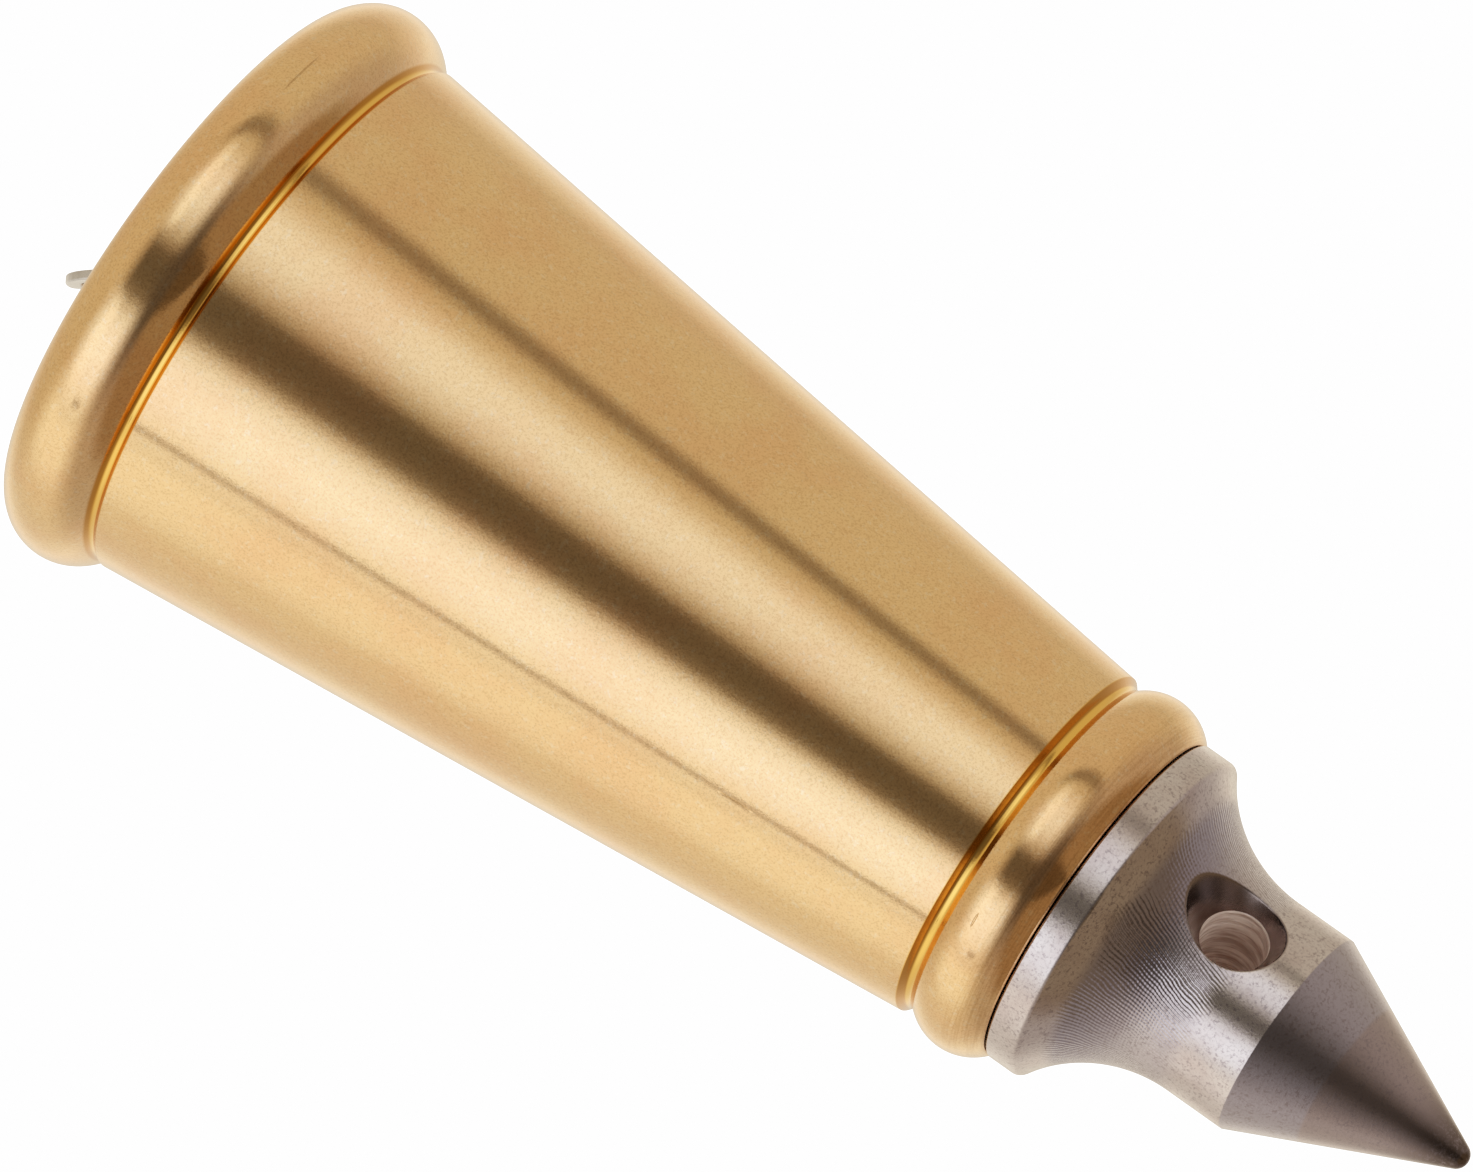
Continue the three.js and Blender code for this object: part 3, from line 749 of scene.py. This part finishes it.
def bar_hole(p, rows, vertices, quads, numbers):
    """Cuts a block out of the turned grid and fills it with rings that lead down into the hole.

    A place on the block is (across, up), and it lies at sqrt(radius(height)^2 - across^2) along the
    hole's axis. The countersink is at hole_radius + (distance - mouth) * tan(flare) from that axis.
    Rings go from the block's edge to the rim, where the countersink meets the surface, round the
    rim, down to the bore's mouth, along the bore with its tool marks, and down to the drill point.
    """
    body, columns = rows[1:-1], numbers.shape[1]
    outer = body[:, 1] < POINT_HIGH.z - 16 * MM
    block_top, block_low = p.hole_height + 5.0 * MM, p.hole_height - 3.7 * MM
    first = np.argmax(outer & (body[:, 1] < block_top))
    last = np.argmax(outer & (body[:, 1] < block_low))
    half = round(38 / 360 * columns)  # the block reaches 38 degrees to each side
    side = np.arange(-half, half + 1) % columns
    down = np.arange(first, last + 1)
    cut = np.zeros(numbers.shape, bool)
    cut[first:last][:, side[:-1]] = True
    kept = quads[~cut[quads[:, 0] // columns, quads[:, 0] % columns]]
    loop = np.concatenate(
        [
            numbers[last, side[:-1]],
            numbers[down[:0:-1], side[-1]],
            numbers[first, side[:0:-1]],
            numbers[down[:-1], side[0]],
        ]
    )
    out = np.array([math.cos(p.hole_turn), math.sin(p.hole_turn), 0])
    along, upright = np.array([-out[1], out[0], 0]), np.array([0, 0, 1])
    across, up = vertices[loop] @ along, vertices[loop, 2] - p.hole_height
    angle = np.arctan2(up, across)
    cos, sin = np.cos(angle), np.sin(angle)
    height, radius = body[outer][::-1, 1], body[outer][::-1, 0]
    spread = math.tan(p.hole_flare)

    def surface(a, u):
        return np.sqrt(np.interp(u + p.hole_height, height, radius) ** 2 - a**2)

    reach = p.hole_radius + 0 * angle
    for _ in range(40):
        reach = p.hole_radius + (surface(reach * cos, reach * sin) - p.hole_mouth) * spread
    soft = 0.13 * MM
    outside = (reach + soft) * cos, (reach + soft) * sin
    rings = []
    for t in np.linspace(0, 1, 15)[1:]:
        a, u = across * (1 - t) + outside[0] * t, up * (1 - t) + outside[1] * t
        rings.append((a, u, surface(a, u)))
    start = np.stack(rings[-1])
    corner = np.stack([reach * cos, reach * sin, surface(reach * cos, reach * sin)])
    inner = reach - soft * math.sin(p.hole_flare)
    wall = np.stack([inner * cos, inner * sin, p.hole_mouth + (inner - p.hole_radius) / spread])
    for t in np.linspace(0, 1, 7)[1:]:
        rings.append(start * (1 - t) ** 2 + corner * 2 * t * (1 - t) + wall * t**2)
    mouth = np.stack([p.hole_radius * cos, p.hole_radius * sin, p.hole_mouth + 0 * angle])
    for t in np.linspace(0, 1, 14)[1:]:
        rings.append(wall * (1 - t) + mouth * t)
    for t in np.linspace(0, p.hole_bore, 80)[1:]:
        r = p.hole_radius + tool_marks(t) * min(1, t / (0.2 * MM))
        rings.append((r * cos, r * sin, p.hole_mouth - t + 0 * angle))
    end = p.hole_mouth - p.hole_bore
    for r in np.linspace(p.hole_radius, 0, 12)[1:-1]:
        rings.append((r * cos, r * sin, end - (p.hole_radius - r) * DRILL_SLOPE + 0 * angle))
    new = np.concatenate(
        [np.outer(d, out) + np.outer(a, along) + np.outer(u + p.hole_height, upright) for a, u, d in rings]
    )
    added = len(vertices) + np.arange(len(new)).reshape(len(rings), len(loop))
    table = np.vstack([loop, added])
    middle = out * (end - p.hole_radius * DRILL_SLOPE) + upright * p.hole_height
    centre = len(vertices) + len(new)
    cap = np.column_stack([added[-1], np.roll(added[-1], -1), np.full(len(loop), centre)])
    return np.vstack([vertices, new, middle]), np.vstack([kept, strips(table[1:], table[:-1])]), cap


def tool_marks(depth):
    """How far the drill's marks stand off the bore: two waves of 0.46 and 1.1 mm along its depth."""
    fine = math.sin(depth * 2 * math.pi / (0.46 * MM))
    coarse = math.sin(depth * 2 * math.pi / (1.1 * MM) + 1.2)
    return -0.03 * MM * (1 + 0.6 * fine + 0.4 * fine * coarse)


class OBJECT_OT_washer(bpy.types.Operator):
    """Make the washer between the body and the point"""

    bl_idname = "object.plumb_bob_washer"
    bl_label = "Seat Washer"

    def execute(self, context):
        outer, inner = WASHER_HIGH.x, 4.3 * MM
        top, low = WASHER_HIGH.z, WASHER_LOW.z
        edge = 0.1 * MM
        corners = [(inner, low, edge), (inner, top, edge), (outer, top, edge), (outer, low, edge)]
        vertices, quads, _, _ = turned(ring_outline(corners, 2 * MM), 128)
        made = piece("seat_washer_turned", vertices, [quads], bright_steel(settings_of(context)))
        place(made, "washer", "seat_washer")
        return {"FINISHED"}


class OBJECT_OT_bush(bpy.types.Operator):
    """Make the threaded bush that holds the swivel in the recess"""

    bl_idname = "object.plumb_bob_bush"
    bl_label = "Gland Bush"

    def execute(self, context):
        s = context.scene.plumb_bob_swivel
        top, low, outer = BUSH_HIGH.z, BUSH_LOW.z, BUSH_HIGH.x
        inner = s.stem_radius + 0.12 * MM
        corners = [
            (inner, low, 0.15 * MM),
            (inner, top, 0.2 * MM),
            (outer - 0.5 * MM, top, 0.05 * MM),
            (outer, top - 0.5 * MM, 0.03 * MM),
            *[(outer, h, 0) for h in np.arange(top - 0.6 * MM, low + 0.6 * MM, -0.11 * MM)],
            (outer, low + 0.5 * MM, 0.03 * MM),
            (outer - 0.5 * MM, low, 0.05 * MM),
        ]
        thread = thread_on(outer, low + 0.2 * MM, top - 0.2 * MM, 1.0 * MM, 0.5 * MM)
        vertices, quads, _, _ = turned(ring_outline(corners, 0.8 * MM), 160, thread)
        made = piece("gland_bush_turned", vertices, [quads], bush_brass())
        for side in (1, -1):
            pin = [
                (0, top + 1 * MM, 0),
                (s.spanner_radius + 0.15 * MM, top + 1 * MM, 0),
                (s.spanner_radius + 0.15 * MM, top, 0),
                (s.spanner_radius, top - 0.15 * MM, 0),
                (s.spanner_radius, top - s.spanner_depth, 0),
                (0, top - s.spanner_depth - s.spanner_radius * DRILL_SLOPE, 0),
            ]
            corners, quads, fans, _ = turned(outline(pin, 1 * MM), 48)
            corners = corners + np.array([side * s.spanner_pitch, 0, 0])
            combined(made, piece("pin", corners, [quads, fans], made.data.materials[0]), "DIFFERENCE")
        place(made, "bob", "gland_bush")
        return {"FINISHED"}


class OBJECT_OT_swivel(bpy.types.Operator):
    """Make the swivel eye with its collar and threaded stem"""

    bl_idname = "object.plumb_bob_swivel"
    bl_label = "Swivel Eye"

    def execute(self, context):
        s = context.scene.plumb_bob_swivel
        collar_low = BUSH_HIGH.z + 0.3 * MM
        collar_top, end = collar_low + s.collar_height, EYE_LOW.z
        thread_top = end + 4.6 * MM
        stem = [
            (0, collar_top, 0),
            (s.collar_radius, collar_top, 0.15 * MM),
            (s.collar_radius, collar_low, 0.15 * MM),
            (s.stem_radius, collar_low, 0.1 * MM),
            *[(s.stem_radius, h, 0) for h in np.arange(thread_top, end + 0.5 * MM, -0.09 * MM)],
            (s.stem_radius, end + 0.4 * MM, 0),
            (s.stem_radius - 0.4 * MM, end, 0.05 * MM),
            (0, end, 0),
        ]
        thread = thread_on(s.stem_radius, end - 0.2 * MM, thread_top, 0.7 * MM, 0.35 * MM)
        vertices, quads, fans, _ = turned(outline(stem, 1 * MM), 96, thread)
        made = piece("swivel_eye_forged", vertices, [quads, fans], bright_steel(settings_of(context)))
        vertices, quads = eye_blade(s, collar_top - s.collar_height / 2)
        combined(made, piece("blade", vertices, [quads], made.data.materials[0]), "UNION")
        place(made, "swivel", "swivel_eye")
        return {"FINISHED"}


def eye_blade(s, foot):
    """A flat ring with a square foot, as a grid of the turn about the hole and the way round the section.

    The section runs from the hole's radius to the outline, which is the blade's radius above and
    min(radius / |cos|, foot / |sin|) below, and each of its corners is a small quarter circle.
    """
    sides = 40
    turn = np.linspace(0, 2 * math.pi, 160, endpoint=False)[:, None]
    way = np.linspace(0, 2 * math.pi, sides, endpoint=False)[None, :] + math.pi / sides
    below = np.minimum(
        s.blade_radius / np.maximum(np.abs(np.cos(turn)), 1e-6), -foot / np.maximum(-np.sin(turn), 1e-6)
    )
    outside = np.where(np.sin(turn) < 0, below, s.blade_radius)
    soft = 0.4 * MM
    middle, half = (outside + s.eye_hole) / 2, (outside - s.eye_hole) / 2
    r = middle + (half - soft) * np.sign(np.cos(way)) + soft * np.cos(way)
    y = (s.blade_thickness / 2 - soft) * np.sign(np.sin(way)) + soft * np.sin(way) + 0 * turn
    vertices = np.stack([r * np.cos(turn), y, r * np.sin(turn)], axis=-1).reshape(-1, 3)
    numbers = np.arange(len(vertices)).reshape(r.shape)
    return vertices, strips(numbers, np.roll(numbers, -1, axis=0))


class OBJECT_OT_ring(bpy.types.Operator):
    """Make the split ring, a strip wound nearly twice round"""

    bl_idname = "object.plumb_bob_ring"
    bl_label = "Split Ring"

    def execute(self, context):
        vertices, quads, fans = ring_strip(context.scene.plumb_bob_swivel)
        made = piece("split_ring_wound", vertices, [quads, fans], spring_steel(settings_of(context)))
        place(made, "ring", "split_ring")
        return {"FINISHED"}


def ring_strip(s):
    """A rounded strip carried along the winding, as a grid of the run along it and the way round it.

    The middle line is ((step - 1/2) * pitch, R sin a, R (1 - cos a)) at a = crossing - run, where
    step goes smoothly from 0 to 1 at the crossing. The whole leans about Y.
    """
    run = np.linspace(s.crossing_half, s.run, 420)
    taper = math.radians(1.2)  # the strip thins over this angle at each end
    trim = np.array([0, math.radians(0.5), taper])
    run = np.unique(np.concatenate([run, s.crossing_half + trim, s.run - trim]))[:, None]
    share = np.clip((run - 2 * math.pi + s.crossing_half) / (2 * s.crossing_half), 0, 1)
    step = share * share * (3 - 2 * share)
    angle = s.crossing - run
    from_end = np.minimum(run - s.crossing_half, s.run - run)
    size = 1 - 0.18 * np.clip(1 - from_end / taper, 0, 1) ** 2
    sides = 32
    way = np.linspace(0, 2 * math.pi, sides, endpoint=False)[None, :] + math.pi / sides
    soft = 0.16 * MM
    wide = size * ((s.strip_width / 2 - soft) * np.sign(np.cos(way)) + soft * np.cos(way))
    thick = size * ((s.strip_height / 2 - soft) * np.sign(np.sin(way)) + soft * np.sin(way))
    x = (step - 0.5) * s.coil_pitch + thick
    y = (s.ring_radius + wide) * np.sin(angle)
    z = s.ring_radius - (s.ring_radius + wide) * np.cos(angle)
    leaning = x * math.cos(s.lean) - z * math.sin(s.lean), y, x * math.sin(s.lean) + z * math.cos(s.lean)
    grid = np.stack(leaning, axis=-1)
    numbers = np.arange(x.size).reshape(x.shape)
    ends = np.stack([grid[0].mean(axis=0), grid[-1].mean(axis=0)])
    caps = [
        np.column_stack([np.full(sides, x.size), np.roll(numbers[0], -1), numbers[0]]),
        np.column_stack([np.full(sides, x.size + 1), numbers[-1], np.roll(numbers[-1], -1)]),
    ]
    quads = strips(numbers[1:], numbers[:-1])
    return np.vstack([grid.reshape(-1, 3), ends]), quads, np.vstack(caps)[:, ::-1]


class OBJECT_OT_hidden_pieces(bpy.types.Operator):
    """Finish the thrust washer and the nut, which the body hides"""

    bl_idname = "object.plumb_bob_hidden_pieces"
    bl_label = "Thrust Washer and Nut"

    def execute(self, context):
        finish = bright_steel(settings_of(context))
        for name in ("thrust_washer", "swivel_nut"):
            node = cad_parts[name]
            node.data.materials.clear()
            node.data.materials.append(finish)
        return {"FINISHED"}


class OBJECT_OT_studio(bpy.types.Operator):
    """Set the camera, the light and the floor"""

    bl_idname = "object.plumb_bob_studio"
    bl_label = "Studio"

    def execute(self, context):
        s = context.scene.plumb_bob_studio
        light_studio()
        set_tones()
        aim = Vector((2.95 * MM, 0, -37.09 * MM))
        back = Vector((0, -math.cos(s.tilt), -math.sin(s.tilt)))
        up = Vector((0, -math.sin(s.tilt), math.cos(s.tilt)))
        side = Vector((1, 0, 0))
        right = side * math.cos(s.roll) - up * math.sin(s.roll)
        above = side * math.sin(s.roll) + up * math.cos(s.roll)
        data = bpy.data.cameras.new("camera")
        data.lens = data.sensor_width * s.distance / s.width
        data.clip_start, data.clip_end = 0.05, 20
        camera = bpy.data.objects.new("camera", data)
        context.scene.collection.objects.link(camera)
        camera.matrix_world = Matrix.Translation(aim + back * s.distance) @ Matrix(
            (right, above, back)
        ).transposed().to_4x4()
        context.scene.camera = camera
        self.add_floor(context, s.floor)
        return {"FINISHED"}

    def add_floor(self, context, height):
        """A flat pale square, far larger than the bob, and a lamp that lights only matt things."""
        side = np.linspace(-4, 4, 9)
        x, y = np.meshgrid(side, side)
        vertices = np.stack([x, y, 0 * x + height], axis=-1).reshape(-1, 3)
        numbers = np.arange(x.size).reshape(x.shape)
        quads = np.stack(
            [numbers[:-1, :-1], numbers[:-1, 1:], numbers[1:, 1:], numbers[1:, :-1]], axis=-1
        ).reshape(-1, 4)
        f = Finish("pale_floor")
        cloud = f.noise(f.at, 6.0)
        shader = f.node(
            "ShaderNodeBsdfPrincipled",
            None,
            {"Base Color": f.mix(cloud, (0.9, 0.9, 0.9, 1), (0.87, 0.87, 0.87, 1)), "Roughness": 0.9},
        )
        f.node("ShaderNodeOutputMaterial", None, {"Surface": shader})
        floor = piece("floor", vertices, [quads], f.material)
        floor.visible_glossy = False
        data = bpy.data.lights.new("overhead", "AREA")
        data.energy, data.size = 34, 1.2
        lamp = bpy.data.objects.new("overhead", data)
        lamp.location = (0, 0, 1.2)
        lamp.visible_glossy = False
        context.scene.collection.objects.link(lamp)


class VIEW3D_PT_plumb_bob(bpy.types.Panel):
    """Lists the operators that make the bob, in order"""

    bl_label = "Plumb Bob"
    bl_space_type = "VIEW_3D"
    bl_region_type = "UI"
    bl_category = "Plumb Bob"

    def draw(self, context):
        for operator in OPERATORS:
            self.layout.operator(operator.bl_idname)


GROUPS = {
    "plumb_bob_body": BobSizes,
    "plumb_bob_point": PointSizes,
    "plumb_bob_swivel": SwivelSizes,
    "plumb_bob_finishes": Finishes,
    "plumb_bob_studio": Studio,
}
OPERATORS = (
    OBJECT_OT_brass_body,
    OBJECT_OT_steel_point,
    OBJECT_OT_washer,
    OBJECT_OT_bush,
    OBJECT_OT_swivel,
    OBJECT_OT_ring,
    OBJECT_OT_hidden_pieces,
    OBJECT_OT_studio,
)
CLASSES = (*GROUPS.values(), *OPERATORS, VIEW3D_PT_plumb_bob)


def register():
    for kind in CLASSES:
        bpy.utils.register_class(kind)
    for name, group in GROUPS.items():
        setattr(bpy.types.Scene, name, bpy.props.PointerProperty(type=group))


def unregister():
    for name in GROUPS:
        delattr(bpy.types.Scene, name)
    for kind in reversed(CLASSES):
        bpy.utils.unregister_class(kind)


def main():
    register()
    bpy.ops.object.plumb_bob_body()
    bpy.ops.object.plumb_bob_point()
    bpy.ops.object.plumb_bob_washer()
    bpy.ops.object.plumb_bob_bush()
    bpy.ops.object.plumb_bob_swivel()
    bpy.ops.object.plumb_bob_ring()
    bpy.ops.object.plumb_bob_hidden_pieces()
    bpy.ops.object.plumb_bob_studio()


if __name__ == "__main__":
    main()
